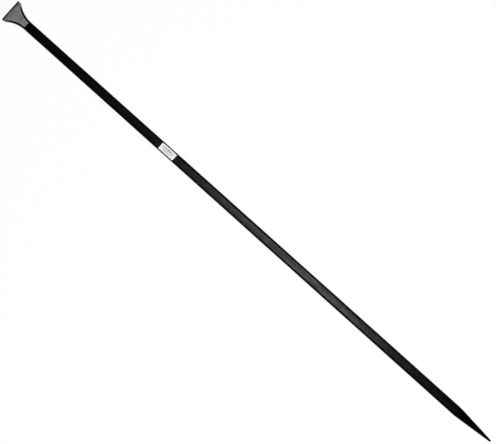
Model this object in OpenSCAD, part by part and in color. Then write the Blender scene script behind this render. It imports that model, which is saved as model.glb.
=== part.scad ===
// Digging bar: a round-cornered square steel shaft with a forged fishtail chisel blade on one end and a
// forged point on the other. Each forging has a turned spigot in a drilled socket of the shaft, and is
// held by a weld that fills a turned groove and is dressed flush. The bar lies along X, with the blade
// at -X and the point at +X, and rests on Z = 0 with its labelled flat up. Sizes are in millimetres.

/* [Bar] */
// Overall length, from the cutting edge to the tip of the point
bar_length = 1750; // [1200:10:2200]
// Width of the shaft across its flats
shaft_width = 27.5; // [22:0.5:36]
// Radius of the shaft's four long corners
shaft_round = 5.8; // [2:0.1:8]

/* [Chisel blade] */
// Width of the blade across its cutting edge
blade_width = 68; // [50:1:110]
// Length of the wedge, from the cutting edge to the root where the shank begins
blade_length = 70; // [50:1:120]
// Length of the parallel sides behind the cutting edge
blade_side = 5; // [3:0.5:16]
// Radius of the shoulder where each parallel side turns into the flare
shoulder_radius = 20; // [4:1:30]
// Radius of the two corners of the cutting edge, seen from above
corner_radius = 2.5; // [0.5:0.1:4]
// Thickness of the wedge where the cutting bevel begins
bevel_thickness = 6.4; // [4:0.2:10]
// Length of the cutting bevel
bevel_length = 6; // [3:0.5:12]
// Thickness left along the cutting edge
edge_thickness = 1.6; // [0.8:0.1:3]
// Largest share of the blade's half thickness that the rounding of a flank takes
flank_share = 0.75; // [0.6:0.05:0.95]
// Length of the full-section shank behind the wedge
blade_shank = 36; // [20:1:80]

/* [Point] */
// Length of the taper, from its shoulder to the tip
point_length = 112; // [60:1:220]
// Width across the blunt tip
tip_width = 5; // [2:0.2:10]
// Length of the rounded end of the tip
tip_round = 2; // [0.5:0.1:4]
// Length over which the shoulder is rounded, half of it on each side
shoulder_blend = 24; // [4:1:40]
// Length of the full-section shank ahead of the taper
point_shank = 36; // [24:1:80]

/* [Joints] */
// Depth of each weld groove below the flats of the shaft
weld_depth = 4.1; // [2.5:0.1:6]
// Angle of each side of a weld groove to the plane of its joint
groove_angle = 45; // [30:1:60]
// Width of the flat ring between groove and spigot, where the two pieces butt together
root_face = 2.4; // [1:0.1:3]
// Length of each spigot
spigot_length = 34; // [15:1:60]
// Chamfer on the free end of each spigot
spigot_chamfer = 1.5; // [0.5:0.1:3]
// Clearance between a spigot and its socket, on the radius
socket_clearance = 0.1; // [0.05:0.05:0.4]
// Clearance between the free end of a spigot and the bottom of its socket
socket_end_gap = 1; // [0.5:0.5:4]

/* [Label] */
// Distance from the cutting edge to the nearer end of the label
label_start = 579; // [300:1:900]
// Length of the label along the shaft
label_length = 51.5; // [30:0.5:120]
// Width of the label across the shaft, seen from above
label_span = 19.5; // [10:0.5:22]
// Thickness of the label
label_thickness = 0.2; // [0.1:0.05:0.5]

/* [Hidden] */

// Facets of the turned surfaces
$fn = 64;

black_paint = [0.07, 0.07, 0.07];
ground_steel = [0.44, 0.43, 0.42];
label_white = [0.96, 0.96, 0.95];

// Half sizes, and the places of the pieces along the bar
shaft_half = shaft_width / 2;
blade_half = blade_width / 2;
tip_half = tip_width / 2;
edge_x = -bar_length / 2;
blade_joint_x = edge_x + blade_length + blade_shank;
tip_x = bar_length / 2;
shoulder_x = tip_x - point_length;
point_joint_x = shoulder_x - point_shank;
axis_z = shaft_half;

// Each side of the blade is two arcs that meet tangentially: the rounded shoulder, then the hollow
// flare, which ends tangent to the shank
flare_run = blade_length - blade_side;
flare_rise = blade_half - shaft_half;
radius_sum = (flare_run ^ 2 + flare_rise ^ 2) / (2 * flare_rise);
flare_radius = radius_sum - shoulder_radius;
shoulder_run = shoulder_radius * flare_run / radius_sum;

// Slope of the point's faces to the axis
taper_slope = (shaft_half - tip_half) / point_length;

// Weld groove, whose mouth clears the shaft's corners, and the spigot, which takes the section inside
// the root face
groove_bottom = shaft_half - weld_depth;
spigot_radius = groove_bottom - root_face;
socket_radius = spigot_radius + socket_clearance;
socket_depth = spigot_length + socket_end_gap;
groove_mouth = shaft_half * sqrt(2);
groove_reach = (groove_mouth - groove_bottom) * tan(groove_angle);

// Smoothness of the lofts, in steps along the bar and round each corner
bevel_steps = 7;
flare_steps = 22;
blend_steps = 6;
tip_steps = 4;
corner_steps = 6;
// Share of a full dome that the rounding of the tip follows
tip_dome_share = 0.9;

function between(a, b, t) = a + (b - a) * t;

// Half width of the blade at a distance from the cutting edge
function corner_half(d) =
    d < corner_radius
        ? blade_half - corner_radius + sqrt(corner_radius ^ 2 - (corner_radius - d) ^ 2)
        : blade_half;
function flare_half(d) =
    d <= blade_side ? blade_half
    : d <= blade_side + shoulder_run
        ? blade_half - shoulder_radius + sqrt(shoulder_radius ^ 2 - (d - blade_side) ^ 2)
        : shaft_half + flare_radius - sqrt(flare_radius ^ 2 - max(0, blade_length - d) ^ 2);
function blade_half_width(d) = min(corner_half(d), flare_half(d));

// Half thickness of the blade at a distance from the cutting edge: the bevel, the wedge, the shank
function blade_half_thickness(d) =
    let (along = min(1, (d - bevel_length) / (blade_length - bevel_length)))
    d < bevel_length
        ? between(edge_thickness, bevel_thickness, d / bevel_length) / 2
        : between(bevel_thickness / 2, shaft_half, along);

// Half width of the point at a distance past its shoulder: shank, rounded shoulder, straight taper and
// blunt tip
function taper_half(d) =
    let (blended = max(0, d + shoulder_blend / 2))
    d < shoulder_blend / 2
        ? shaft_half - taper_slope * blended ^ 2 / (2 * shoulder_blend)
        : shaft_half - taper_slope * d;
function tip_factor(d) =
    let (past = max(0, d - point_length + tip_round) / tip_round)
    sqrt(1 - (tip_dome_share * past) ^ 2);
function point_half(d) = taper_half(d) * tip_factor(d);

// Round-cornered rectangle square to the bar, counter-clockwise seen from +X: one arc for each corner
function ring(x, half_y, half_z, round) =
    [for (corner = [[1, 1, 0], [-1, 1, 90], [-1, -1, 180], [1, -1, 270]], i = [0 : corner_steps])
        let (angle = corner[2] + 90 * i / corner_steps)
        [x,
         corner[0] * (half_y - round) + round * cos(angle),
         axis_z + corner[1] * (half_z - round) + round * sin(angle)]];

// Ring of the blade, and of the point, at a distance along each
function blade_ring(d) =
    let (half_z = blade_half_thickness(d))
    ring(edge_x + d, blade_half_width(d), half_z, min(shaft_round, flank_share * half_z));
function point_ring(d) =
    let (half = point_half(d))
    ring(shoulder_x + d, half, half, shaft_round * half / shaft_half);

// Places of the rings: close together round the corners of the edge, even along the flare
blade_places = concat(
    [for (i = [0 : bevel_steps - 1]) bevel_length * (1 - cos(90 * i / bevel_steps))],
    [for (i = [0 : flare_steps]) between(bevel_length, blade_length, i / flare_steps)],
    [blade_length + blade_shank]);
point_places = concat(
    [-point_shank],
    [for (i = [0 : blend_steps]) shoulder_blend * (i / blend_steps - 0.5)],
    [for (i = [0 : tip_steps]) point_length - tip_round * (1 - i / tip_steps)]);

// Solid through a list of rings that runs along +X
module loft(rings) {
    sides = len(rings[0]);
    last = (len(rings) - 1) * sides;
    start_cap = [for (j = [0 : sides - 1]) j];
    end_cap = [for (j = [sides - 1 : -1 : 0]) last + j];
    walls = [for (i = [0 : len(rings) - 2], j = [0 : sides - 1])
        let (k = (j + 1) % sides, near = i * sides, far = near + sides)
        each [[near + j, far + j, far + k], [near + j, far + k, near + k]]];
    polyhedron(points = [for (r = rings) each r], faces = concat([start_cap], walls, [end_cap]));
}

// Cross-section of the shaft, grown by a margin on every face: a square with round corners
module shaft_section(margin = 0) {
    full = shaft_width + 2 * margin;
    flat = shaft_width - 2 * shaft_round;
    square([full, flat], center = true);
    square([flat, full], center = true);
    for (y = [-1, 1], z = [-1, 1])
        translate([y * flat / 2, z * flat / 2])
            circle(r = shaft_round + margin);
}

// Extrusion of a cross-section along the bar between two places
module along_bar(from_x, to_x) {
    translate([from_x, 0, axis_z])
        rotate([90, 0, 90])
            linear_extrude(to_x - from_x)
                children();
}

// Turned shape on the axis of the bar: local +Z points along the bar from a place, or back along it
module turned(at_x, forward = true) {
    translate([at_x, 0, axis_z])
        rotate([0, forward ? 90 : -90, 0])
            children();
}

// Groove of V section round the bar at a joint, which the weld fills
module weld_groove(at_x) {
    turned(at_x)
        rotate_extrude()
            polygon([[groove_bottom, 0], [groove_mouth, -groove_reach], [groove_mouth, groove_reach]]);
}

// Spigot that stands on the plane of a joint, with a chamfered free end
module spigot(at_x, forward) {
    straight = spigot_length - spigot_chamfer;
    turned(at_x, forward) {
        cylinder(h = straight, r = spigot_radius);
        translate([0, 0, straight])
            cylinder(h = spigot_chamfer, r1 = spigot_radius, r2 = spigot_radius - spigot_chamfer);
    }
}

// Drilled socket for a spigot
module socket(at_x, forward) {
    turned(at_x, forward)
        cylinder(h = socket_depth, r = socket_radius);
}

// Weld metal in the groove of a joint, dressed flush with the faces of the bar
module weld(at_x) {
    intersection() {
        along_bar(at_x - groove_reach, at_x + groove_reach)
            shaft_section();
        weld_groove(at_x);
    }
}

// Straight bar between the two joints, with a socket in each end
module shaft() {
    color(black_paint)
        difference() {
            along_bar(blade_joint_x, point_joint_x)
                shaft_section();
            weld_groove(blade_joint_x);
            weld_groove(point_joint_x);
            socket(blade_joint_x, true);
            socket(point_joint_x, false);
        }
}

// Fishtail chisel forging: bevelled cutting edge, flared wedge with round flanks, shank and spigot
module chisel_blade() {
    color(ground_steel)
        union() {
            difference() {
                loft([for (d = blade_places) blade_ring(d)]);
                weld_groove(blade_joint_x);
            }
            spigot(blade_joint_x, true);
        }
}

// Weld that holds the chisel blade
module blade_weld() {
    color(black_paint)
        weld(blade_joint_x);
}

// Point forging: spigot, shank, and a four-sided taper with round corners to a blunt tip
module point() {
    color(black_paint)
        union() {
            difference() {
                loft([for (d = point_places) point_ring(d)]);
                weld_groove(point_joint_x);
            }
            spigot(point_joint_x, false);
        }
}

// Weld that holds the point
module point_weld() {
    color(black_paint)
        weld(point_joint_x);
}

// Adhesive label on the upper flat, folded over both upper corners
module label() {
    color(label_white)
        along_bar(edge_x + label_start, edge_x + label_start + label_length)
            intersection() {
                difference() {
                    shaft_section(label_thickness);
                    shaft_section();
                }
                translate([-label_span / 2, 0])
                    square([label_span, shaft_width]);
            }
}

shaft();
chisel_blade();
blade_weld();
point();
point_weld();
label();
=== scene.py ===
"""Looks of a digging bar: painted shaft, ground fishtail blade, forged point, two welds and a label.

Every piece is a closed surface worked out on a grid, with stations along the bar one way and places round
the section the other way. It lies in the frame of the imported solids, in metres, and stands for one of them.
Arrays over a grid have the shape (stations, places), and one more axis where they hold coordinates.
"""
import logging
import math
from abc import ABC, abstractmethod
from collections.abc import Mapping
from dataclasses import dataclass
from enum import Enum
from functools import cached_property
from typing import Any, NamedTuple, Union

import bmesh
import bpy
import numpy as np
from mathutils import Matrix, Vector


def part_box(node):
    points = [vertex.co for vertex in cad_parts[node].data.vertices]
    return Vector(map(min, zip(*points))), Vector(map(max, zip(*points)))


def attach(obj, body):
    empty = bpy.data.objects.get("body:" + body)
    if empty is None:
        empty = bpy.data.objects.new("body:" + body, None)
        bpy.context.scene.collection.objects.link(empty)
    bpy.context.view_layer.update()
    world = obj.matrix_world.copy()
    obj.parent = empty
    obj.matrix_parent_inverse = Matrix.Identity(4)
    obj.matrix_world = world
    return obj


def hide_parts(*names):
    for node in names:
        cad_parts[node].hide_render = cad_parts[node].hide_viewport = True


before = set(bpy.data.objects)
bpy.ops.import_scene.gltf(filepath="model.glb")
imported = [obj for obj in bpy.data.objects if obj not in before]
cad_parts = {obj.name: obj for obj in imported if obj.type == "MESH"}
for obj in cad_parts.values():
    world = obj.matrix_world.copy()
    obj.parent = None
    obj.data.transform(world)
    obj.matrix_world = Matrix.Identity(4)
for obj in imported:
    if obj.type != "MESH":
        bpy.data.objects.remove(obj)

LOG = logging.getLogger("digging_bar")
MM = 0.001
BODY = "root"
MERGE_DISTANCE = 0.001 * MM
SHARP_ANGLE = math.radians(32)
OVERHEAD_HEIGHT = 5.2
OVERHEAD_SIZE = (0.4, 0.4)
OVERHEAD_TINT = (1.0, 0.96, 0.98)
# Most of the mean of two cloudy noises lies in this range
CLOUD_RANGE = (0.38, 0.62)

Colour = tuple[float, float, float]
Opaque = tuple[float, float, float, float]
Place = tuple[float, float, float]
Key = Union[str, int]
Number = Union["Value", float]
Tone = Union["Value", Opaque]


class Slot(Enum):
    """Material slots of the bar's finishes."""

    BLACK_ENAMEL = "black_enamel"
    GROUND_STEEL = "ground_steel"
    LABEL_STOCK = "label_stock"


class Node(Enum):
    """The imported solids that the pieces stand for."""

    SHAFT = "shaft"
    CHISEL_BLADE = "chisel_blade"
    BLADE_WELD = "blade_weld"
    POINT = "point"
    POINT_WELD = "point_weld"
    LABEL = "label"


class End(Enum):
    """The two ends of the bar, by the direction along X in which each one lies."""

    BLADE = -1
    POINT = 1


class Value:
    """One output of a shader node, wrapped so that sums are written as Python expressions."""

    def __init__(self, board: "Board", socket: bpy.types.NodeSocket) -> None:
        """Keep the socket and the board that it is on."""
        self.board = board
        self.socket = socket

    def _math(self, operation: str, *terms: Number) -> "Value":
        """Result of a new Math node with the given operation and inputs."""
        return self.board.add("ShaderNodeMath", {"operation": operation}, dict(enumerate(terms)))

    def __add__(self, other: Number) -> "Value":
        """Sum of two values."""
        return self._math("ADD", self, other)

    def __sub__(self, other: Number) -> "Value":
        """Difference of two values."""
        return self._math("SUBTRACT", self, other)

    def __mul__(self, other: Number) -> "Value":
        """Product of two values."""
        return self._math("MULTIPLY", self, other)

    def __truediv__(self, other: Number) -> "Value":
        """Quotient of two values."""
        return self._math("DIVIDE", self, other)

    __radd__ = __add__
    __rmul__ = __mul__

    def __rsub__(self, other: Number) -> "Value":
        """Difference from a number."""
        return self._math("SUBTRACT", other, self)

    def above(self, limit: Number) -> "Value":
        """1 where the value is over a limit, else 0."""
        return self._math("GREATER_THAN", self, limit)

    def most(self, other: Number) -> "Value":
        """The larger of two values."""
        return self._math("MAXIMUM", self, other)

    def whole(self) -> "Value":
        """The value without its fraction."""
        return self._math("FLOOR", self)

    def rise(self, start: float, end: float) -> "Value":
        """Smooth step.

        Args:
            start: where the step begins, with the result 0.
            end: where it ends, with the result 1.

        Returns:
            The step's height at this value.
        """
        ways = {"interpolation_type": "SMOOTHSTEP"}
        steps = {"Value": self, "From Min": start, "From Max": end}
        return self.board.add("ShaderNodeMapRange", ways, steps)

    def past(self, line: float, blur: float) -> "Value":
        """1 past a line and 0 before it, with a smooth step over the blur on either side."""
        return self.rise(line - blur, line + blur)

    def between(self, low: float, high: float, blur: float) -> "Value":
        """1 between two lines and 0 beside them, with a smooth step over the blur on each line."""
        return self.past(low, blur) - self.past(high, blur)

    def toward(self, other: Number, share: "Value") -> "Value":
        """The value moved a share of the way to another one."""
        return self + (other - self) * share


class Board:
    """The nodes of one material or world."""

    def __init__(self, tree: bpy.types.NodeTree) -> None:
        """Clear a node tree and keep it."""
        tree.nodes.clear()
        self.tree = tree

    @staticmethod
    def pick(sockets: bpy.types.bpy_prop_collection, key: Key) -> bpy.types.NodeSocket:
        """One of a node's sockets, by identifier, else by number or name."""
        named = {socket.identifier: socket for socket in sockets}
        return named[key] if key in named else sockets[key]

    def node(
        self,
        kind: str,
        settings: Mapping[str, Any] | None = None,
        sockets: Mapping[Key, Any] | None = None,
    ) -> bpy.types.Node:
        """Make a node.

        Args:
            kind: the node's type.
            settings: its own settings, which are set first.
            sockets: its inputs by number, identifier or name, each a value to set or a node's value to link.

        Returns:
            The node.
        """
        made = self.tree.nodes.new(kind)
        for name, setting in (settings or {}).items():
            setattr(made, name, setting)
        for key, wanted in (sockets or {}).items():
            socket = self.pick(made.inputs, key)
            if isinstance(wanted, Value):
                self.tree.links.new(wanted.socket, socket)
            else:
                socket.default_value = wanted
        return made

    def add(
        self,
        kind: str,
        settings: Mapping[str, Any] | None = None,
        sockets: Mapping[Key, Any] | None = None,
        output: Key = 0,
    ) -> Value:
        """Make a node in the same way and take one of its outputs, by number, identifier or name."""
        return Value(self, self.pick(self.node(kind, settings, sockets).outputs, output))

    def close(self, kind: str, shader: Value) -> None:
        """Link a shader to a new output node of the given type."""
        self.node(kind, sockets={"Surface": shader})

    def place(self) -> Value:
        """Object coordinates of the shaded point, in metres."""
        return self.add("ShaderNodeTexCoord", output="Object")

    def attribute(self, name: str) -> Value:
        """Vector that the mesh keeps on its points under a name."""
        return self.add("ShaderNodeAttribute", {"attribute_name": name}, output="Vector")

    def part(self, vector: Value, axis: str) -> Value:
        """One coordinate of a vector, by the axis' letter."""
        return self.add("ShaderNodeSeparateXYZ", None, {0: vector}, axis)

    def stretch(self, vector: Value, by: Place, shift: Place = (0.0, 0.0, 0.0)) -> Value:
        """Vector multiplied axis by axis, then shifted."""
        return self.add("ShaderNodeVectorMath", {"operation": "MULTIPLY_ADD"}, {0: vector, 1: by, 2: shift})

    def noise(self, place: Value, size: float, layers: float) -> Value:
        """Cloudy noise from 0 to 1, with blotches of a size in the place's unit, and finer layers."""
        sockets = {"Vector": place, "Scale": 1 / size, "Detail": layers}
        return self.add("ShaderNodeTexNoise", None, sockets, "Fac")

    def chance(self, seed: Value) -> Value:
        """Random number from 0 to 1, the same wherever the seed is the same."""
        return self.add("ShaderNodeTexWhiteNoise", {"noise_dimensions": "1D"}, {"W": seed}, "Value")

    def mix(self, share: Value, first: Tone, second: Tone) -> Value:
        """Mix of two colours: the first where the share is 0, the second where it is 1."""
        sockets = {"Factor_Float": share, "A_Color": first, "B_Color": second}
        return self.add("ShaderNodeMix", {"data_type": "RGBA"}, sockets, "Result_Color")

    def bump(self, height: Value) -> Value:
        """Normal of a surface whose fine relief has the given height, in metres."""
        return self.add("ShaderNodeBump", None, {"Height": height, "Distance": 1.0})

    def principled(self, sockets: Mapping[Key, Any]) -> Value:
        """Surface shader with the given inputs."""
        return self.add("ShaderNodeBsdfPrincipled", None, sockets)


def solid(colour: Colour) -> Opaque:
    """Colour with full opacity."""
    return (*colour, 1.0)


@dataclass(frozen=True)
class Grain:
    """Cloudy grain.

    Attributes:
        size: size of its blotches across the bar.
        depth: depth of its relief.
        layers: number of finer layers.
        longer: how many times longer than wide the blotches are.
        shift: what is added to the coordinates, to pick another pattern.
    """

    size: float
    depth: float
    layers: float
    longer: float = 1.0
    shift: Place = (0.0, 0.0, 0.0)

    def noise(self, board: Board, place: Value) -> Value:
        """The grain from 0 to 1 at a place."""
        drawn_out = board.stretch(place, (1 / self.longer, 1.0, 1.0), self.shift)
        return board.noise(drawn_out, self.size, self.layers)


class Coat(NamedTuple):
    """What a finish gives to a surface: its colour, its roughness and the height of its relief."""

    colour: Value
    roughness: Value
    height: Value


class Sight(NamedTuple):
    """How a surface is looked at.

    Attributes:
        seen: 1 where the camera sees it.
        mirrored: 1 where it is met in a reflection or through glass.
    """

    seen: Value
    mirrored: Value

    @classmethod
    def on(cls, board: Board) -> "Sight":
        """Lay the nodes that tell how a surface is looked at.

        Args:
            board: where the nodes go.

        Returns:
            What they tell.
        """
        seen = board.add("ShaderNodeLightPath", output="Is Camera Ray")
        glossy = board.add("ShaderNodeLightPath", output="Is Glossy Ray")
        through = board.add("ShaderNodeLightPath", output="Is Transmission Ray")
        return cls(seen, glossy.most(through))


@dataclass(frozen=True, kw_only=True)
class Finish(ABC):
    """A finish that makes one material. Those of the bar are named for its material slots."""

    name: str

    def material(self) -> bpy.types.Material:
        """Make the material.

        Returns:
            The material of this finish.
        """
        made = bpy.data.materials.new(self.name)
        made.use_nodes = True
        board = Board(made.node_tree)
        board.close("ShaderNodeOutputMaterial", self.shade(board))
        return made

    @abstractmethod
    def shade(self, board: Board) -> Value:
        """Lay the finish's nodes on a board and return their shader."""


@dataclass(frozen=True, kw_only=True)
class BlackEnamel(Finish):
    """Semi-gloss black paint, thin over rolled and hammered steel, whose grain shows through it.

    Attributes:
        deep, pale: colours of thick and of thin paint.
        gloss: specular level.
        smooth, dull: roughness of thick and of thin paint.
        peel, scale, roll: grain of the paint, of the scale under it and of the rolling marks.
    """

    name: str = Slot.BLACK_ENAMEL.value
    deep: Colour = (0.0004, 0.0004, 0.0004)
    pale: Colour = (0.0012, 0.0011, 0.0011)
    gloss: float = 0.3
    smooth: float = 0.19
    dull: float = 0.245
    peel: Grain = Grain(size=1.6 * MM, depth=0.002 * MM, layers=1.0)
    scale: Grain = Grain(size=11.0 * MM, depth=0.03 * MM, layers=1.5, longer=3.0, shift=(0.0, 0.0, 1.1))
    roll: Grain = Grain(size=9.0 * MM, depth=0.03 * MM, layers=1.0, longer=20.0, shift=(0.0, 0.0, 1.1))

    def coat(self, board: Board) -> Coat:
        """Lay the paint's pattern.

        Formula: the relief is the sum of orange peel, scale and rolling marks. Colour and roughness follow
        the mean of scale and rolling marks, as the paint is thinner there.

        Args:
            board: where the nodes go.

        Returns:
            The paint's colour, roughness and height.
        """
        place = board.place()
        peel = self.peel.noise(board, place)
        scale = self.scale.noise(board, place)
        roll = self.roll.noise(board, place)
        thin = ((scale + roll) / 2).rise(*CLOUD_RANGE)
        height = peel * self.peel.depth + scale * self.scale.depth + roll * self.roll.depth
        colour = board.mix(thin, solid(self.deep), solid(self.pale))
        return Coat(colour, self.smooth + thin * (self.dull - self.smooth), height)

    def shade(self, board: Board) -> Value:
        """Lay the paint's nodes on a board.

        Args:
            board: where the nodes go.

        Returns:
            The shader.
        """
        coat = self.coat(board)
        return board.principled({
            "Base Color": coat.colour,
            "Roughness": coat.roughness,
            "Specular IOR Level": self.gloss,
            "Normal": board.bump(coat.height),
        })


@dataclass(frozen=True, kw_only=True)
class GroundSteel(Finish):
    """Wedge faces ground bare, with a cutting bevel darkened by painted shade, and black paint on the flanks
    and shank.

    Attributes:
        paint: the paint beside the ground faces.
        bright, dull: colours between which the streaks of the steel vary.
        bevel: colour of the cutting bevel, darkened far below the steel as painted shade.
        painted_highlight: colour of the painted highlight along the paint's line.
        metal: share of the bare steel's light that it reflects as metal does. The rest it scatters.
        smooth, rough: roughness between which the streaks vary.
        streaks: number of streaks over half the width of the face.
        streak_length, streak_depth, streak_layers: their length, relief and finer layers.
        stain: clouds in the steel's colour.
        ragged: how the lines where paint and bevel end stray.
        spill: how far the paint runs over the ground face.
        softness: blur of those lines.
        highlight_reach, highlight_share: reach inside the face and strength of the painted highlight.
        overrun: how far the bevel's colour runs past its ridge.
        bevel_fade_reach, bevel_fade_share: how far past the bevel, and how strongly, the face is darkened.
        flank_painted_shade: how strongly painted shade darkens the bare flanks near the bevel.
        worn, worn_skew: how far past the bevel the flanks are bare, and how much further on the +Y side.
    """

    name: str = Slot.GROUND_STEEL.value
    paint: BlackEnamel = BlackEnamel()
    bright: Colour = (0.46, 0.427, 0.419)
    dull: Colour = (0.285, 0.262, 0.258)
    # Painted shade: the bevel's colour is far darker than the steel's.
    bevel: Colour = (0.12, 0.113, 0.111)
    # Painted highlight: bright steel colour along the paint's line.
    painted_highlight: Colour = (0.64, 0.61, 0.60)
    metal: float = 0.6
    smooth: float = 0.38
    rough: float = 0.54
    streaks: float = 23.0
    streak_length: float = 60.0 * MM
    streak_depth: float = 0.012 * MM
    streak_layers: float = 5.0
    stain: Grain = Grain(size=14.0 * MM, depth=0.0, layers=3.0)
    ragged: Grain = Grain(size=2.2 * MM, depth=0.7 * MM, layers=3.0)
    spill: float = 0.5 * MM
    softness: float = 0.25 * MM
    highlight_reach: float = 4.0 * MM
    highlight_share: float = 0.7
    overrun: float = 1.3 * MM
    bevel_fade_reach: float = 22.0 * MM
    bevel_fade_share: float = 0.25
    # Painted shade of the bare flanks, which turn away from the light.
    flank_painted_shade: float = 0.9
    worn: float = 10.0 * MM
    worn_skew: float = 2.5 * MM

    def _steel(self, board: Board, grind: Value, streak: Value, wander: Value) -> Value:
        """Colour of the bare steel.

        Formula: dull and bright steel are mixed by streaks and stains. A painted highlight brightens the
        steel close to the paint. The steel is darker towards the bevel, much darker on the bare part of the
        flanks, which is painted shade, and darkest on the bevel, whose colour is painted shade too.

        Args:
            board: where the nodes go.
            grind: the places on the ground face.
            streak: the streaks of grinding.
            wander: how far the bevel's line strays.

        Returns:
            The colour.
        """
        past_bevel, inset = board.part(grind, "Y"), board.part(grind, "Z")
        tone = ((streak + self.stain.noise(board, board.place())) / 2).rise(*CLOUD_RANGE)
        steel = board.mix(tone, solid(self.dull), solid(self.bright))
        near_bevel = 1 - past_bevel.rise(self.overrun, self.bevel_fade_reach)
        # Painted highlight: the steel is brightened in a strip next to the paint, away from the bevel.
        highlight = (1 - inset.rise(0.0, self.highlight_reach)) * self.highlight_share * (1 - near_bevel)
        steel = board.mix(highlight, steel, solid(self.painted_highlight))
        # Darker towards the bevel: the steel is mixed towards the bevel's dark colour.
        steel = board.mix(near_bevel * self.bevel_fade_share, steel, solid(self.bevel))
        past_line = (past_bevel + wander).past(self.overrun, self.softness)
        # Painted shade: the bare flanks near the bevel, like the bevel itself, take the bevel's dark colour.
        flank_shade = (1 - inset.past(0.0, self.softness)) * near_bevel * self.flank_painted_shade
        return board.mix(past_line * (1 - flank_shade), solid(self.bevel), steel)

    def shade(self, board: Board) -> Value:
        """Lay the nodes of steel and paint on a board.

        Formula: the attribute "grind" holds the share across the face, the distance past the bevel's ridge
        and the distance inside the ground face, whose line is ragged where the paint begins. Beside the
        edge the flanks are bare too, on one side further than on the other. Streaks are noise drawn out
        along lines of equal share across, so they fan out with the blade.

        Args:
            board: where the nodes go.

        Returns:
            The shader.
        """
        grind = board.attribute("grind")
        wander = (self.ragged.noise(board, board.place()) - 0.5) * (2 * self.ragged.depth)
        worn = self.worn + board.part(grind, "X") * self.worn_skew - board.part(grind, "Y")
        inset = board.part(grind, "Z").most(worn) + wander
        bare = inset.past(self.spill, self.softness)

        fan = board.stretch(grind, (self.streaks, 1 / self.streak_length, 0.0))
        streak = board.noise(fan, 1.0, self.streak_layers)
        steel_roughness = self.smooth + streak * (self.rough - self.smooth)
        coat = self.paint.coat(board)
        height = coat.height.toward(streak * self.streak_depth, bare)
        return board.principled({
            "Base Color": board.mix(bare, coat.colour, self._steel(board, grind, streak, wander)),
            "Metallic": bare * self.metal,
            "Roughness": coat.roughness.toward(steel_roughness, bare),
            "Specular IOR Level": self.paint.gloss,
            "Normal": board.bump(height),
        })


@dataclass(frozen=True, kw_only=True)
class PrintRow:
    """One row of plain print: upright strokes of chance width in even steps, with blank steps between.

    Attributes:
        low, high: the row's sides, measured across the label from its middle line.
        seed: what its random numbers start from.
        pitch: length of a step.
        stroke: share of a step that its stroke takes on average.
        spread: how much a stroke's width varies either way, as a share of it.
        blank: share of the steps that stay blank.
    """

    low: float
    high: float
    seed: float
    pitch: float = 0.9 * MM
    stroke: float = 0.6
    spread: float = 0.3
    blank: float = 0.06

    def ink(self, board: Board, along: Value, across: Value, softness: float) -> Value:
        """Share of ink of this row.

        Formula: the row is divided into steps of its pitch. A step's stroke takes a share of it that varies
        by chance about the row's own share, and a step is blank where a second random number is low.

        Args:
            board: where the nodes go.
            along: distance along the label.
            across: distance across it.
            softness: blur of the row's sides.

        Returns:
            The share, from 0 to 1.
        """
        steps = along / self.pitch
        step = steps.whole()
        width = self.stroke * (1 + self.spread * (2 * board.chance(step + self.seed) - 1))
        inked = width.above(steps - step) * board.chance(step - self.seed).above(self.blank)
        return inked * across.between(self.low, self.high, softness)


@dataclass(frozen=True, kw_only=True)
class LabelStock(Finish):
    """White coated paper, printed in grey with a bold row of plain bars over three fine ones.

    Attributes:
        white, ink, soil: colours of clean paper, of print and of soiled paper.
        roughness: roughness of the paper.
        print_from, print_to: where the print begins and ends along the label.
        softness: blur of the print's outline.
        rows: the rows of print.
        fibre, wrinkle: fine and coarse relief of the paper.
        soil_from, soil_to: range of the relief over which the paper turns from clean to soiled.
    """

    name: str = Slot.LABEL_STOCK.value
    white: Colour = (0.93, 0.93, 0.925)
    ink: Colour = (0.07, 0.07, 0.07)
    soil: Colour = (0.84, 0.835, 0.82)
    roughness: float = 0.5
    print_from: float = 5.6 * MM
    print_to: float = 44.6 * MM
    softness: float = 0.06 * MM
    rows: tuple[PrintRow, ...] = (
        PrintRow(low=0.7 * MM, high=6.4 * MM, seed=11.0, pitch=1.3 * MM, stroke=0.62),
        PrintRow(low=-2.2 * MM, high=-0.9 * MM, seed=47.0),
        PrintRow(low=-4.3 * MM, high=-3.0 * MM, seed=83.0),
        PrintRow(low=-6.4 * MM, high=-5.1 * MM, seed=139.0),
    )
    fibre: Grain = Grain(size=0.7 * MM, depth=0.004 * MM, layers=3.0)
    wrinkle: Grain = Grain(size=9.0 * MM, depth=0.016 * MM, layers=2.0)
    soil_from: float = 0.6
    soil_to: float = 0.9

    def shade(self, board: Board) -> Value:
        """Lay the nodes of paper and print on a board.

        Formula: the attribute "sheet" holds the distance along the label and the distance across it from
        its middle line. Print ends short of both ends of the label.

        Args:
            board: where the nodes go.

        Returns:
            The shader.
        """
        sheet = board.attribute("sheet")
        along, across = board.part(sheet, "X"), board.part(sheet, "Y")
        printed = along.between(self.print_from, self.print_to, self.softness)
        rows = sum(row.ink(board, along, across, self.softness) for row in self.rows)

        place = board.place()
        fibre, wrinkle = self.fibre.noise(board, place), self.wrinkle.noise(board, place)
        soiled = ((fibre + wrinkle) / 2).rise(self.soil_from, self.soil_to)
        paper = board.mix(soiled, solid(self.white), solid(self.soil))
        return board.principled({
            "Base Color": board.mix(rows * printed, paper, solid(self.ink)),
            "Roughness": self.roughness,
            "Normal": board.bump(fibre * self.fibre.depth + wrinkle * self.wrinkle.depth),
        })


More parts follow.
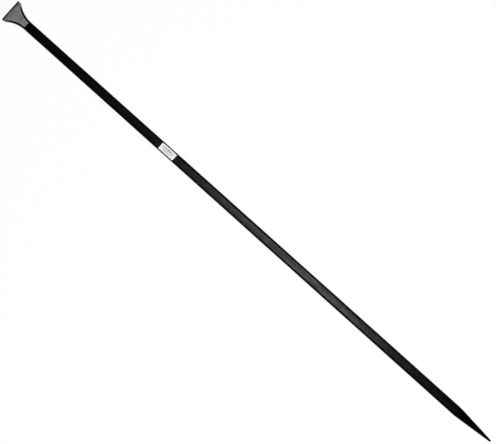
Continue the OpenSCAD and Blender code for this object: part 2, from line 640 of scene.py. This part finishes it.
@dataclass(frozen=True, kw_only=True)
class PaleFloor(Finish):
    """White floor: it lights the bar as paint would, and looks white to the camera and in reflections.

    Attributes:
        paint: colour of the paint.
        glow: strength of plain white.
        seen_share, mirrored_share: share of plain white in it for the camera and in reflections.
    """

    name: str = "pale_floor"
    paint: Colour = (0.9, 0.9, 0.9)
    glow: float = 1.0
    seen_share: float = 0.95
    mirrored_share: float = 0.5

    def shade(self, board: Board) -> Value:
        """Lay the floor's nodes on a board.

        Args:
            board: where the nodes go.

        Returns:
            The shader.
        """
        sight = Sight.on(board)
        share = (sight.seen * self.seen_share).most(sight.mirrored * self.mirrored_share)
        matt = board.add("ShaderNodeBsdfDiffuse", None, {"Color": solid(self.paint)})
        white = board.add("ShaderNodeEmission", None, {"Strength": self.glow})
        return board.add("ShaderNodeMixShader", None, {0: share, 1: matt, 2: white})


@dataclass(frozen=True)
class RingPlan:
    """Places round a section: four quarter arcs and four flats, in the same steps on every ring."""

    arc_steps: int = 12
    flat_steps: int = 12

    @cached_property
    def flat_shares(self) -> np.ndarray:
        """Shares of a flat at its inner places: half of 1 - cosine, at even angles of a half turn."""
        return 0.5 - 0.5 * np.cos(np.linspace(0.0, math.pi, self.flat_steps + 1))[1:-1]

    @cached_property
    def angles(self) -> np.ndarray:
        """Angles of the arcs' points, one row for each corner, from the +Y side over the top."""
        quarter = np.linspace(0.0, math.pi / 2, self.arc_steps + 1)
        return np.arange(4)[:, None] * (math.pi / 2) + quarter

    @cached_property
    def normals(self) -> np.ndarray:
        """Outward directions in the section.

        Returns:
            The direction at every place of a ring, shape (places, 2).
        """
        arcs = np.stack([np.cos(self.angles), np.sin(self.angles)], axis=-1)
        flats = np.repeat(arcs[:, -1:], len(self.flat_shares), axis=1)
        return np.concatenate([arcs, flats], axis=1).reshape(-1, 2)

    def rings(self, half_y: np.ndarray, half_z: np.ndarray, rounding: np.ndarray) -> np.ndarray:
        """Round-cornered rectangles, one for each station.

        Formula: each corner is a quarter circle about the point that lies the rounding inside both sides,
        and each flat is divided at fixed shares between the ends of its two arcs.

        Args:
            half_y: half widths, shape (stations,).
            half_z: half heights, likewise.
            rounding: corner radii, likewise.

        Returns:
            The y and z of every place about the section's centre, shape (stations, places, 2).
        """
        sign_y = np.array([1, -1, -1, 1])[:, None]
        sign_z = np.array([1, 1, -1, -1])[:, None]
        radius = rounding[:, None, None]
        arc_y = sign_y * (half_y[:, None, None] - radius) + radius * np.cos(self.angles)
        arc_z = sign_z * (half_z[:, None, None] - radius) + radius * np.sin(self.angles)
        arcs = np.stack([arc_y, arc_z], axis=-1)
        ends = arcs[:, :, -1:]
        starts = np.roll(arcs, -1, axis=1)[:, :, :1]
        flats = ends + (starts - ends) * self.flat_shares[:, None]
        return np.concatenate([arcs, flats], axis=2).reshape(len(half_y), -1, 2)


@dataclass(frozen=True, kw_only=True)
class Wave:
    """One ripple that rolling or hammering leaves.

    Attributes:
        length: its length along the bar.
        depth: its depth.
        phase: where it starts, in turns.
        turns: how many times it rises and falls round the section.
    """

    length: float
    depth: float
    phase: float
    turns: int = 0

    def sink(self, x: np.ndarray, turn: np.ndarray | float = 0.0) -> np.ndarray:
        """Depth of the ripple: a sine along the bar and round the section, lifted so that it only sinks."""
        cycles = x / self.length + turn * self.turns + self.phase
        return self.depth * (0.5 + 0.5 * np.sin(2 * math.pi * cycles))


@dataclass(frozen=True)
class Stock:
    """Hot-rolled square bar with round corners, which the shaft and both shanks are made of.

    Attributes:
        half: half the distance across its flats.
        corner: radius of its corners.
        plan: the places round its section.
        waves: ripples of rolling, which are the same all round it.
    """

    half: float
    corner: float = 5.8 * MM
    plan: RingPlan = RingPlan()
    waves: tuple[Wave, ...] = (
        Wave(length=218.0 * MM, depth=0.10 * MM, phase=0.30),
        Wave(length=91.0 * MM, depth=0.05 * MM, phase=0.15),
        Wave(length=37.0 * MM, depth=0.02 * MM, phase=0.60),
    )

    @cached_property
    def section(self) -> np.ndarray:
        """The y and z of the section's places about the axis, shape (places, 2)."""
        one = np.ones(1)
        return self.plan.rings(self.half * one, self.half * one, self.corner * one)[0]

    @cached_property
    def radius(self) -> np.ndarray:
        """Distance of the section's places from the axis, shape (places,)."""
        return np.linalg.norm(self.section, axis=1)

    @cached_property
    def turn(self) -> np.ndarray:
        """Share of the way round the section at every place, by length, shape (places,)."""
        steps = np.linalg.norm(np.roll(self.section, -1, axis=0) - self.section, axis=1)
        return np.concatenate([[0.0], np.cumsum(steps)[:-1]]) / steps.sum()

    def rolling(self, x: np.ndarray) -> np.ndarray:
        """Depth of the ripples of rolling at places along the bar."""
        return sum(wave.sink(x) for wave in self.waves)

    def ripples(self, x: np.ndarray, waves: tuple[Wave, ...]) -> np.ndarray:
        """Depth of ripples that also run round the section, at a grid of places along the bar."""
        return sum(wave.sink(x, self.turn) for wave in waves)

    def loft(self, x: np.ndarray, sections: np.ndarray, sink: np.ndarray) -> np.ndarray:
        """Points of sections about the axis, carried along the bar and sunk along their normals."""
        flat = sections - self.plan.normals * sink[..., None]
        return np.stack([x, flat[..., 0], flat[..., 1] + self.half], axis=-1)

    def rolled(self, x: np.ndarray) -> np.ndarray:
        """Points of the plain bar's surface, with its ripples, at a grid of places along it."""
        return self.loft(x, self.section, self.rolling(x))

    def circles(self, x: np.ndarray, radius: np.ndarray) -> np.ndarray:
        """Circles about the axis, each place in the direction of the section's place.

        Args:
            x: place of each circle along the bar, shape (stations,).
            radius: radius of each circle, likewise.

        Returns:
            The points, shape (stations, places, 3).
        """
        around = radius[:, None, None] * (self.section / self.radius[:, None])
        along = column(x, around)
        return np.stack([along, around[..., 0], around[..., 1] + self.half], axis=-1)


@dataclass(frozen=True)
class Joint:
    """Spigot joint between the shaft and a forged end, with a V groove round it that the weld fills.

    Attributes:
        stock: the bar.
        place: X of the joint.
        end: the end of the bar that it is at.
        spigot_length: length of the spigot.
        groove_depth: depth of the groove in the middle of a flat.
        groove_slope: half width that the groove gains for each unit of its depth.
        root_face: width of the flat ring between the groove and the spigot.
        spigot_chamfer: chamfer at the spigot's free end.
        socket_clearance: room between the spigot and the socket's wall.
        socket_end_gap: room past the spigot's free end.
    """

    stock: Stock
    place: float
    end: End
    spigot_length: float
    groove_depth: float = 4.1 * MM
    groove_slope: float = 1.0
    root_face: float = 2.4 * MM
    spigot_chamfer: float = 1.5 * MM
    socket_clearance: float = 0.1 * MM
    socket_end_gap: float = 1.0 * MM

    @property
    def groove_bottom(self) -> float:
        """Radius of the groove's bottom."""
        return self.stock.half - self.groove_depth

    @property
    def spigot_radius(self) -> float:
        """Radius of the spigot."""
        return self.groove_bottom - self.root_face

    @property
    def reach(self) -> np.ndarray:
        """Half width of the conical groove where it meets each place of the section, by its radius."""
        return (self.stock.radius - self.groove_bottom) * self.groove_slope

    @property
    def shaft_lip(self) -> np.ndarray:
        """X of the groove's lip on the shaft's side at each place of the section."""
        return self.place - self.end.value * self.reach

    @property
    def forging_lip(self) -> np.ndarray:
        """X of the groove's lip on the forging's side at each place of the section."""
        return self.place + self.end.value * self.reach

    def socket(self) -> np.ndarray:
        """Surface of the drilled socket and the root face.

        Formula: circles about the axis, from a point in the socket's bottom along its wall and out over the
        root face.

        Returns:
            The points from the socket's bottom to the groove, shape (stations, places, 3).
        """
        bottom = self.place - self.end.value * (self.spigot_length + self.socket_end_gap)
        bore = self.spigot_radius + self.socket_clearance
        x = np.array([bottom, bottom, self.place, self.place])
        return self.stock.circles(x, np.array([0.0, bore, bore, self.groove_bottom]))

    def spigot(self) -> np.ndarray:
        """Surface of the spigot and the root face.

        Formula: circles about the axis, from a point in the free end over the chamfer, along the spigot and
        out over the root face.

        Returns:
            The points from the spigot's free end to the groove, shape (stations, places, 3).
        """
        free = self.place - self.end.value * self.spigot_length
        straight = free + self.end.value * self.spigot_chamfer
        x = np.array([free, free, straight, self.place, self.place])
        radius = self.spigot_radius
        chamfered = radius - self.spigot_chamfer
        return self.stock.circles(x, np.array([0.0, chamfered, radius, radius, self.groove_bottom]))


def spread(start: np.ndarray, end: np.ndarray, count: int) -> np.ndarray:
    """Grid of places along the bar, in a count of even steps between two outlines."""
    share = np.linspace(0.0, 1.0, count)[:, None]
    return start + (end - start) * share


def sag(distance: np.ndarray, radius: float) -> np.ndarray:
    """How far a quarter arc has dropped at distances past its crown, from 0 there to its radius."""
    run = np.clip(distance, 0.0, radius)
    return radius - np.sqrt(radius**2 - run**2)


def column(values: np.ndarray, like: np.ndarray) -> np.ndarray:
    """One value for each station, repeated for every place of a grid of rings."""
    return np.broadcast_to(values[:, None], like.shape[:2])


def grid_mesh(name: str, points: np.ndarray, ring: bool) -> bpy.types.Mesh:
    """Make a mesh of quads from a grid of points that goes once round.

    Args:
        name: the mesh's name.
        points: shape (stations, places, 3).
        ring: the last station joins the first.

    Returns:
        The mesh, with one vertex for each point.
    """
    stations, places, _ = points.shape
    index = np.arange(stations * places).reshape(stations, places)
    near = index if ring else index[:-1]
    far = np.roll(index, -1, axis=0) if ring else index[1:]
    corners = [near, np.roll(near, -1, axis=1), np.roll(far, -1, axis=1), far]
    quads = np.stack(corners, axis=-1).reshape(-1, len(corners))

    mesh = bpy.data.meshes.new(name)
    mesh.vertices.add(index.size)
    mesh.vertices.foreach_set("co", points.astype(np.float32).ravel())
    mesh.loops.add(quads.size)
    mesh.loops.foreach_set("vertex_index", quads.astype(np.int32).ravel())
    mesh.polygons.add(len(quads))
    mesh.polygons.foreach_set("loop_start", np.arange(0, quads.size, len(corners), dtype=np.int32))
    mesh.update(calc_edges=True)
    return mesh


def close_shell(mesh: bpy.types.Mesh) -> None:
    """Merge the points that lie together, so that poles close, turn the faces outwards and smooth them.

    Args:
        mesh: the mesh, which is changed.
    """
    shell = bmesh.new()
    shell.from_mesh(mesh)
    bmesh.ops.remove_doubles(shell, verts=shell.verts, dist=MERGE_DISTANCE)
    bmesh.ops.dissolve_degenerate(shell, edges=shell.edges, dist=MERGE_DISTANCE)
    bmesh.ops.recalc_face_normals(shell, faces=shell.faces)
    shell.to_mesh(mesh)
    shell.free()
    mesh.polygons.foreach_set("use_smooth", np.ones(len(mesh.polygons), dtype=bool))
    mesh.set_sharp_from_angle(angle=SHARP_ANGLE)


def surface(
    name: str,
    points: np.ndarray,
    ring: bool = False,
    notes: Mapping[str, np.ndarray] | None = None,
) -> bpy.types.Object:
    """Make a closed piece from a grid of points that goes once round.

    Args:
        name: the piece's name.
        points: shape (stations, places, 3). A first or last station drawn together to a line or a point
            closes the surface there.
        ring: the last station joins the first, as in a ring round the bar.
        notes: vectors kept on the points as attributes, by name, each of the points' shape.

    Returns:
        The object, at the origin.
    """
    mesh = grid_mesh(name, points, ring)
    for note, vectors in (notes or {}).items():
        kept = mesh.attributes.new(note, "FLOAT_VECTOR", "POINT")
        kept.data.foreach_set("vector", vectors.astype(np.float32).ravel())
    close_shell(mesh)
    piece = bpy.data.objects.new(name, mesh)
    bpy.context.scene.collection.objects.link(piece)
    return piece


@dataclass(frozen=True, kw_only=True)
class Piece(ABC):
    """One physical piece of the bar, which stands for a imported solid."""

    name: str
    node: Node
    slot: Slot

    @abstractmethod
    def build(self) -> bpy.types.Object:
        """Make the piece's mesh in place and return its object."""

    def dress(self, piece: bpy.types.Object, material: bpy.types.Material) -> None:
        """Give the piece its finish and its place in the frame.

        Args:
            piece: the piece's object.
            material: its finish.
        """
        piece.data.materials.append(material)
        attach(piece, BODY)
        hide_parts(self.node.value)


@dataclass(frozen=True, kw_only=True)
class Shaft(Piece):
    """Straight rolled bar between the two joints, with a groove and a drilled socket at each end."""

    name: str = "painted_shaft"
    node: Node = Node.SHAFT
    slot: Slot = Slot.BLACK_ENAMEL
    blade_joint: Joint
    point_joint: Joint
    stations: int = 320

    def build(self) -> bpy.types.Object:
        """Make the shaft: a socket, the outside from lip to lip, and the other socket.

        Returns:
            The shaft's object.
        """
        x = spread(self.blade_joint.shaft_lip, self.point_joint.shaft_lip, self.stations)
        outside = self.blade_joint.stock.rolled(x)
        far = self.point_joint.socket()[::-1]
        return surface(self.name, np.concatenate([self.blade_joint.socket(), outside, far]))


@dataclass(frozen=True, kw_only=True)
class Weld(Piece):
    """Weld metal that fills a groove and is dressed nearly flush.

    Attributes:
        joint: the joint whose groove it fills.
        stations: number of rings on its outside.
        beads: ripples that are left of the beads.
    """

    slot: Slot = Slot.BLACK_ENAMEL
    joint: Joint
    stations: int = 15
    beads: tuple[Wave, ...] = (
        Wave(length=5.2 * MM, depth=0.03 * MM, phase=0.0, turns=3),
        Wave(length=9.0 * MM, depth=0.04 * MM, phase=0.4, turns=7),
    )

    def build(self) -> bpy.types.Object:
        """Make the ring.

        Formula: the outside follows the bar from lip to lip, and sinks by the dressed beads' ripples,
        which fade to nothing at both lips. The groove's bottom closes the ring.

        Returns:
            The ring's object.
        """
        stock = self.joint.stock
        share = np.linspace(-1.0, 1.0, self.stations)[:, None]
        x = self.joint.place + share * self.joint.reach
        sink = stock.rolling(x) + stock.ripples(x, self.beads) * (1.0 - share**2)
        outside = stock.loft(x, stock.section, sink)
        bottom = stock.circles(np.array([self.joint.place]), np.array([self.joint.groove_bottom]))
        return surface(self.name, np.concatenate([bottom, outside]), ring=True)


@dataclass(frozen=True, kw_only=True)
class ChiselBlade(Piece):
    """Forged fishtail blade: bevelled cutting edge, flared wedge with round flanks, shank and spigot.

    Attributes:
        joint: its joint with the shaft.
        edge: X of the cutting edge.
        half_width: half the width behind the cutting edge.
        shank: length from the wedge's root to the joint.
        side: length of the parallel side behind the cutting edge.
        shoulder_radius, corner_radius: radii of the arcs into the flare and at the cutting edge's corners.
        bevel_thickness, bevel_length: thickness at the bevel's ridge, and the bevel's length.
        edge_thickness, edge_round: thickness at the cutting edge, and the length that rounds it.
        flank_rounding: rounding of the flanks, as a share of the half thickness.
        ridge: distance of the rings beside a ridge from it.
        nose_stations, bevel_stations, flare_stations, shank_stations: numbers of rings.
        fade_rate: the hammer's ripples fade over the wedge's length divided by this.
        hammer: ripples that the hammer left.
    """

    name: str = "fishtail_blade"
    node: Node = Node.CHISEL_BLADE
    slot: Slot = Slot.GROUND_STEEL
    joint: Joint
    edge: float
    half_width: float
    shank: float = 36.0 * MM
    side: float = 5.0 * MM
    shoulder_radius: float = 20.0 * MM
    corner_radius: float = 2.5 * MM
    bevel_thickness: float = 6.4 * MM
    bevel_length: float = 6.0 * MM
    edge_thickness: float = 1.6 * MM
    edge_round: float = 0.7 * MM
    flank_rounding: float = 0.75
    ridge: float = 0.35 * MM
    nose_stations: int = 9
    bevel_stations: int = 10
    flare_stations: int = 46
    shank_stations: int = 9
    fade_rate: float = 4.0
    hammer: tuple[Wave, ...] = (
        Wave(length=19.0 * MM, depth=0.10 * MM, phase=0.1, turns=4),
        Wave(length=11.0 * MM, depth=0.06 * MM, phase=0.7, turns=6),
    )

    @property
    def length(self) -> float:
        """Length of the wedge, from the cutting edge to the shank."""
        return self.joint.place - self.edge - self.shank

    def _stations(self) -> np.ndarray:
        """Places of the wedge's rings, close together at the cutting edge and at both ridges.

        Returns:
            Their distances from the cutting edge.
        """
        nose = self.edge_round * (1.0 - np.cos(np.linspace(0.0, math.pi / 2, self.nose_stations)))
        bevel = np.linspace(self.edge_round, self.bevel_length - self.ridge, self.bevel_stations + 1)[1:]
        flare = np.linspace(self.bevel_length + self.ridge, self.length - self.ridge, self.flare_stations)
        root = [self.length, self.length + self.ridge]
        return np.concatenate([nose, bevel, [self.bevel_length], flare, root])

    def half_widths(self, distance: np.ndarray) -> np.ndarray:
        """Half widths of the blade.

        Formula: a corner arc at the cutting edge, a parallel side, a shoulder arc, and a hollow arc that
        meets the shoulder and the shank tangentially. The flare's run and rise give the sum of the radii of
        shoulder and hollow.

        Args:
            distance: distances from the cutting edge.

        Returns:
            The half widths.
        """
        narrow = self.joint.stock.half
        run = self.length - self.side
        rise = self.half_width - narrow
        radii = (run**2 + rise**2) / (2 * rise)
        turn = self.side + self.shoulder_radius * run / radii
        shoulder = self.half_width - sag(distance - self.side, self.shoulder_radius)
        flare = narrow + sag(self.length - distance, radii - self.shoulder_radius)
        corner = self.half_width - sag(self.corner_radius - distance, self.corner_radius)
        return np.minimum(corner, np.where(distance <= turn, shoulder, flare))

    def half_heights(self, distance: np.ndarray) -> np.ndarray:
        """Half thicknesses of the blade.

        Formula: straight lines through the bevel, the wedge and the shank, drawn together at the cutting
        edge by a quarter ellipse.

        Args:
            distance: distances from the cutting edge.

        Returns:
            The half thicknesses.
        """
        knees = [0.0, self.bevel_length, self.length]
        heights = [self.edge_thickness / 2, self.bevel_thickness / 2, self.joint.stock.half]
        return np.interp(distance, knees, heights) * (1.0 - sag(1.0 - distance / self.edge_round, 1.0))

    def _forged(self, distance: np.ndarray, rings: np.ndarray) -> np.ndarray:
        """Surface of the wedge.

        Formula: hammer ripples sink the surface by up to their depth. They fade out towards the thin edge,
        and towards the shank, where the rolled bar's own ripples take over at the same rate.

        Args:
            distance: distances of the rings from the cutting edge.
            rings: the rings.

        Returns:
            The points, shape (stations, places, 3).
        """
        stock = self.joint.stock
        x = column(self.edge + distance, rings)
        share = distance / self.length
        forged = np.clip((1.0 - share) * self.fade_rate, 0.0, 1.0)
        hammered = stock.ripples(x, self.hammer) * column(forged * share, rings)
        return stock.loft(x, rings, hammered + stock.rolling(x) * column(1.0 - forged, rings))

    def build(self) -> bpy.types.Object:
        """Make the blade from its cutting edge to the spigot, and keep where its faces are ground.

        Formula: round-cornered rectangles follow the half widths and thicknesses, with a rounding that is
        at most a fixed share of the half thickness. The ground face ends where the rounding begins, or at
        the wedge's root.

        Returns:
            The blade's object.
        """
        stock = self.joint.stock
        distance = self._stations()
        wide, high = self.half_widths(distance), self.half_heights(distance)
        rounding = np.minimum(stock.corner, self.flank_rounding * high)
        forged = self._forged(distance, stock.plan.rings(wide, high, rounding))
        shank = stock.rolled(spread(forged[-1, :, 0], self.joint.forging_lip, self.shank_stations)[1:])
        points = np.concatenate([forged, shank, self.joint.spigot()[::-1]])

        plain = np.full(len(points) - len(forged), stock.half - stock.corner)
        face = column(np.concatenate([wide - rounding, plain]), points)
        along, across = points[..., 0] - self.edge, points[..., 1]
        inset = np.minimum(face - np.abs(across), self.length - along)
        grind = np.stack([across / face, along - self.bevel_length, inset], axis=-1)
        return surface(self.name, points, notes={"grind": grind})


@dataclass(frozen=True, kw_only=True)
class Point(Piece):
    """Forged point: spigot, shank, rounded shoulder and a four-sided taper to a blunt tip.

    Attributes:
        joint: its joint with the shaft.
        tip: X of the tip.
        shank: length from the joint to the taper's shoulder.
        tip_width, tip_round: width that the taper runs to, and the length that rounds the tip.
        shoulder_blend: length of the curve from the shank into the taper.
        shank_stations, taper_stations, tip_stations: numbers of rings.
        hammer: ripples that the hammer left.
    """

    name: str = "forged_point"
    node: Node = Node.POINT
    slot: Slot = Slot.BLACK_ENAMEL
    joint: Joint
    tip: float
    shank: float = 36.0 * MM
    tip_width: float = 5.0 * MM
    tip_round: float = 2.0 * MM
    shoulder_blend: float = 24.0 * MM
    shank_stations: int = 7
    taper_stations: int = 60
    tip_stations: int = 9
    hammer: tuple[Wave, ...] = (
        Wave(length=23.0 * MM, depth=0.12 * MM, phase=0.2, turns=4),
        Wave(length=13.5 * MM, depth=0.05 * MM, phase=0.5, turns=8),
    )

    @property
    def length(self) -> float:
        """Length of the taper, from its shoulder to the tip."""
        return self.tip - self.joint.place - self.shank

    def _stations(self) -> np.ndarray:
        """Places of the taper's rings, close together at the tip.

        Returns:
            Their distances past the shoulder.
        """
        taper = np.linspace(-self.shoulder_blend / 2, self.length - self.tip_round, self.taper_stations)
        dome = np.sin(np.linspace(0.0, math.pi / 2, self.tip_stations))[1:]
        return np.concatenate([taper, self.length - self.tip_round * (1.0 - dome)])

    def half_widths(self, distance: np.ndarray) -> np.ndarray:
        """Half widths of the point.

        Formula: a straight taper, joined to the shank by a parabola over the blend's length, and drawn
        together at the tip by a quarter ellipse.

        Args:
            distance: distances past the shoulder.

        Returns:
            The half widths.
        """
        wide = self.joint.stock.half
        slope = (wide - self.tip_width / 2) / self.length
        blended = np.clip(distance + self.shoulder_blend / 2, 0.0, self.shoulder_blend)
        straight = np.maximum(distance - self.shoulder_blend / 2, 0.0)
        drop = slope * (blended**2 / (2 * self.shoulder_blend) + straight)
        past = (distance - self.length + self.tip_round) / self.tip_round
        return (wide - drop) * (1.0 - sag(past, 1.0))

    def build(self) -> bpy.types.Object:
        """Make the point from its spigot to the tip.

        Formula: squares with round corners follow the half widths. Hammer ripples grow past the shoulder,
        where the rolled bar's own ripples fade, and both shrink with the section.

        Returns:
            The point's object.
        """
        stock = self.joint.stock
        distance = self._stations()
        half = self.half_widths(distance)
        left = half / stock.half
        rings = stock.plan.rings(half, half, stock.corner * left)
        x = column(self.tip - self.length + distance, rings)
        forged = np.clip(distance / self.shoulder_blend, 0.0, 1.0) * left
        hammered = stock.ripples(x, self.hammer) * column(forged, rings)
        taper = stock.loft(x, rings, hammered + stock.rolling(x) * column(left - forged, rings))
        shank = stock.rolled(spread(self.joint.forging_lip, x[0], self.shank_stations)[:-1])
        return surface(self.name, np.concatenate([self.joint.spigot(), shank, taper]))


@dataclass(frozen=True, kw_only=True)
class Label(Piece):
    """Adhesive paper label on the upper flat, folded over both upper corners.

    Attributes:
        stock: the bar that it sticks to.
        start, end: X of its two ends.
        half_span: half its width, seen from above.
        thickness, lift: heights of its upper and of its lower face over the bar.
        stations: number of rows along it.
        flat_steps, fold_steps: numbers of steps over the flat and over each corner.
    """

    name: str = "paper_label"
    node: Node = Node.LABEL
    slot: Slot = Slot.LABEL_STOCK
    stock: Stock
    start: float
    end: float
    half_span: float
    thickness: float = 0.2 * MM
    lift: float = 0.01 * MM
    stations: int = 28
    flat_steps: int = 24
    fold_steps: int = 8

    def build(self) -> bpy.types.Object:
        """Make the sheet.

        Formula: the path across is the flat and a part of each corner's arc, offset by the label's
        thickness for the upper face and by a hair for the lower one. Both faces sink with the bar's ripples
        and are drawn together at the two ends.

        Returns:
            The label's object.
        """
        flat = self.stock.half - self.stock.corner
        outer, inner = self.stock.corner + self.thickness, self.stock.corner + self.lift
        middle = (outer + inner) / 2
        fold = np.linspace(0.0, math.asin((self.half_span - flat) / outer), self.fold_steps + 1)[1:]
        turn = np.concatenate([-fold[::-1], np.zeros(self.flat_steps + 1), fold])
        step = np.clip(np.arange(len(turn)) - self.fold_steps, 0, self.flat_steps)
        centre = flat * (2 * step / self.flat_steps - 1)

        x = np.array([self.start, *np.linspace(self.start, self.end, self.stations), self.end])
        opened = np.array([0.0, *np.ones(self.stations), 0.0])[:, None]
        side = np.repeat([outer, inner], len(turn))
        turn, centre = np.concatenate([turn, turn[::-1]]), np.concatenate([centre, centre[::-1]])
        reach = middle + (side - middle) * opened - self.stock.rolling(x)[:, None]
        y = centre + reach * np.sin(turn)
        z = self.stock.half + flat + reach * np.cos(turn)
        along = column(x, y)
        across = np.broadcast_to(centre + middle * turn, y.shape)
        sheet = np.stack([along - self.start, across, np.zeros(y.shape)], axis=-1)
        return surface(self.name, np.stack([along, y, z], axis=-1), notes={"sheet": sheet})


@dataclass(frozen=True)
class Lamp:
    """Soft rectangular lamp, which reflections show or not, and the camera never."""

    name: str
    place: Place
    size: tuple[float, float]
    watts: float
    aim: Place = (0.0, 0.0, 0.0)
    colour: Colour = (1.0, 1.0, 1.0)
    mirrored: bool = True

    @classmethod
    def overhead(cls, name: str, x: float, watts: float) -> "Lamp":
        """Small tinted lamp high over the bar's middle line, whose reflection lies along the upper flat."""
        place = (x, 0.0, OVERHEAD_HEIGHT)
        return cls(name, place, size=OVERHEAD_SIZE, watts=watts, colour=OVERHEAD_TINT)

    def build(self) -> None:
        """Hang the lamp and turn it towards its aim."""
        light = bpy.data.lights.new(self.name, "AREA")
        light.shape = "RECTANGLE"
        light.size, light.size_y = self.size
        light.energy = self.watts
        light.color = self.colour
        lamp = bpy.data.objects.new(self.name, light)
        turned = (Vector(self.aim) - Vector(self.place)).to_track_quat("-Z", "Y")
        lamp.matrix_world = Matrix.Translation(self.place) @ turned.to_matrix().to_4x4()
        lamp.visible_camera = False
        lamp.visible_glossy = self.mirrored
        bpy.context.scene.collection.objects.link(lamp)


@dataclass(frozen=True)
class PhotoCamera:
    """Camera over the bar, turned so that the bar lies across the picture from corner to corner.

    Attributes:
        place: where it stands.
        pitch, roll: its turns from a look straight down, about Y and then about its line of sight.
        focal_px, picture_width_px: focal length and width of the picture, in pixels.
        sensor_mm: width of its sensor, in millimetres.
        reach: how far it sees.
    """

    place: Place = (0.8507, 0.0034, 4.5)
    pitch: float = math.radians(10.5)
    roll: float = math.radians(41.893)
    focal_px: float = 1713.5
    picture_width_px: float = 496.0
    sensor_mm: float = 36.0
    reach: float = 200.0

    def build(self) -> None:
        """Set the camera up and make it the scene's camera."""
        data = bpy.data.cameras.new("photo_camera")
        data.sensor_width = self.sensor_mm
        data.lens = self.focal_px * self.sensor_mm / self.picture_width_px
        data.clip_end = self.reach
        camera = bpy.data.objects.new("photo_camera", data)
        tilted = Matrix.Rotation(self.pitch, 4, "Y") @ Matrix.Rotation(self.roll, 4, "Z")
        camera.matrix_world = Matrix.Translation(self.place) @ tilted
        bpy.context.scene.collection.objects.link(camera)
        bpy.context.scene.camera = camera


@dataclass(frozen=True)
class Studio:
    """White floor, a dim room with a white horizon, soft lamps and the camera.

    Attributes:
        floor_half: half the side of the floor.
        floor_drop: how far it lies under the bar.
        room_light: brightness of the room.
        horizon: sine of the angle over level at which the white horizon has faded.
        camera, lamps: what looks at the bar, and what lights it.
    """

    floor_half: float = 40.0
    floor_drop: float = 0.1 * MM
    room_light: float = 0.02
    horizon: float = 0.16
    camera: PhotoCamera = PhotoCamera()
    lamps: tuple[Lamp, ...] = (
        Lamp("end_softbox", place=(8.5, 0.0, 4.0), size=(4.5, 3.0), watts=2160.0, mirrored=False),
        Lamp("blade_softbox", place=(-4.4, 0.0, 3.6), size=(1.6, 1.6), watts=16.5, aim=(-0.85, 0.0, 0.0)),
        Lamp.overhead("near_overhead", x=-0.346, watts=7.3),
        Lamp.overhead("far_overhead", x=-0.985, watts=3.9),
        Lamp.overhead("faint_overhead", x=-2.1, watts=0.2),
    )

    def build(self) -> None:
        """Set the studio up, with plain display of colours."""
        bpy.context.scene.view_settings.view_transform = "Standard"
        self._floor()
        self._room()
        self.camera.build()
        for lamp in self.lamps:
            lamp.build()

    def _floor(self) -> None:
        """Lay the floor just under the bar."""
        corners = np.array([[-1, -1], [1, -1], [1, 1], [-1, 1]]) * self.floor_half
        points = np.column_stack([corners, np.full(len(corners), -self.floor_drop)])
        mesh = bpy.data.meshes.new("floor")
        mesh.from_pydata(points.tolist(), [], [range(len(corners))])
        mesh.materials.append(PaleFloor().material())
        floor = bpy.data.objects.new("floor", mesh)
        bpy.context.scene.collection.objects.link(floor)

    def _room(self) -> None:
        """Light the room dimly and evenly, with a white horizon that only sight and reflections meet."""
        world = bpy.data.worlds.new("room")
        bpy.context.scene.world = world
        world.use_nodes = True
        board = Board(world.node_tree)
        direction = board.add("ShaderNodeTexCoord", output="Generated")
        low = 1 - board.part(direction, "Z").rise(0.0, self.horizon)
        sight = Sight.on(board)
        white = sight.seen.most(sight.mirrored * low)
        strength = self.room_light + white * (1 - self.room_light)
        board.close("ShaderNodeOutputWorld", board.add("ShaderNodeBackground", None, {"Strength": strength}))


@dataclass(frozen=True)
class DiggingBar:
    """The whole bar: its finishes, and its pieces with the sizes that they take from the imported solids."""

    finishes: tuple[Finish, ...] = (BlackEnamel(), GroundSteel(), LabelStock())

    def materials(self) -> dict[str, bpy.types.Material]:
        """Material of every finish, by the name of its slot."""
        return {finish.name: finish.material() for finish in self.finishes}

    def pieces(self) -> list[Piece]:
        """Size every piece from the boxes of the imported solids.

        Returns:
            The pieces, in the order in which they are built.
        """
        shaft_low, shaft_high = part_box(Node.SHAFT.value)
        blade_low, blade_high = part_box(Node.CHISEL_BLADE.value)
        point_low, point_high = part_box(Node.POINT.value)
        label_low, label_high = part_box(Node.LABEL.value)
        stock = Stock(half=(shaft_high.z - shaft_low.z) / 2)
        at_blade = Joint(stock, place=shaft_low.x, end=End.BLADE, spigot_length=blade_high.x - shaft_low.x)
        at_point = Joint(stock, place=shaft_high.x, end=End.POINT, spigot_length=shaft_high.x - point_low.x)
        return [
            Shaft(blade_joint=at_blade, point_joint=at_point),
            ChiselBlade(joint=at_blade, edge=blade_low.x, half_width=blade_high.y),
            Weld(name="blade_weld_ring", node=Node.BLADE_WELD, joint=at_blade),
            Point(joint=at_point, tip=point_high.x),
            Weld(name="point_weld_ring", node=Node.POINT_WELD, joint=at_point),
            Label(stock=stock, start=label_low.x, end=label_high.x, half_span=label_high.y),
        ]


def main() -> None:
    """Set up the studio, then build, dress and report the bar's pieces in order."""
    logging.basicConfig(level=logging.INFO, format="%(name)s: %(message)s")
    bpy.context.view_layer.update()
    LOG.info("frame of %d solids", len(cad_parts))
    Studio().build()
    bar = DiggingBar()
    materials = bar.materials()
    for part in bar.pieces():
        piece = part.build()
        part.dress(piece, materials[part.slot.value])
        LOG.info("%s: %d faces, stands for %s", piece.name, len(piece.data.polygons), part.node.value)


if __name__ == "__main__":
    main()
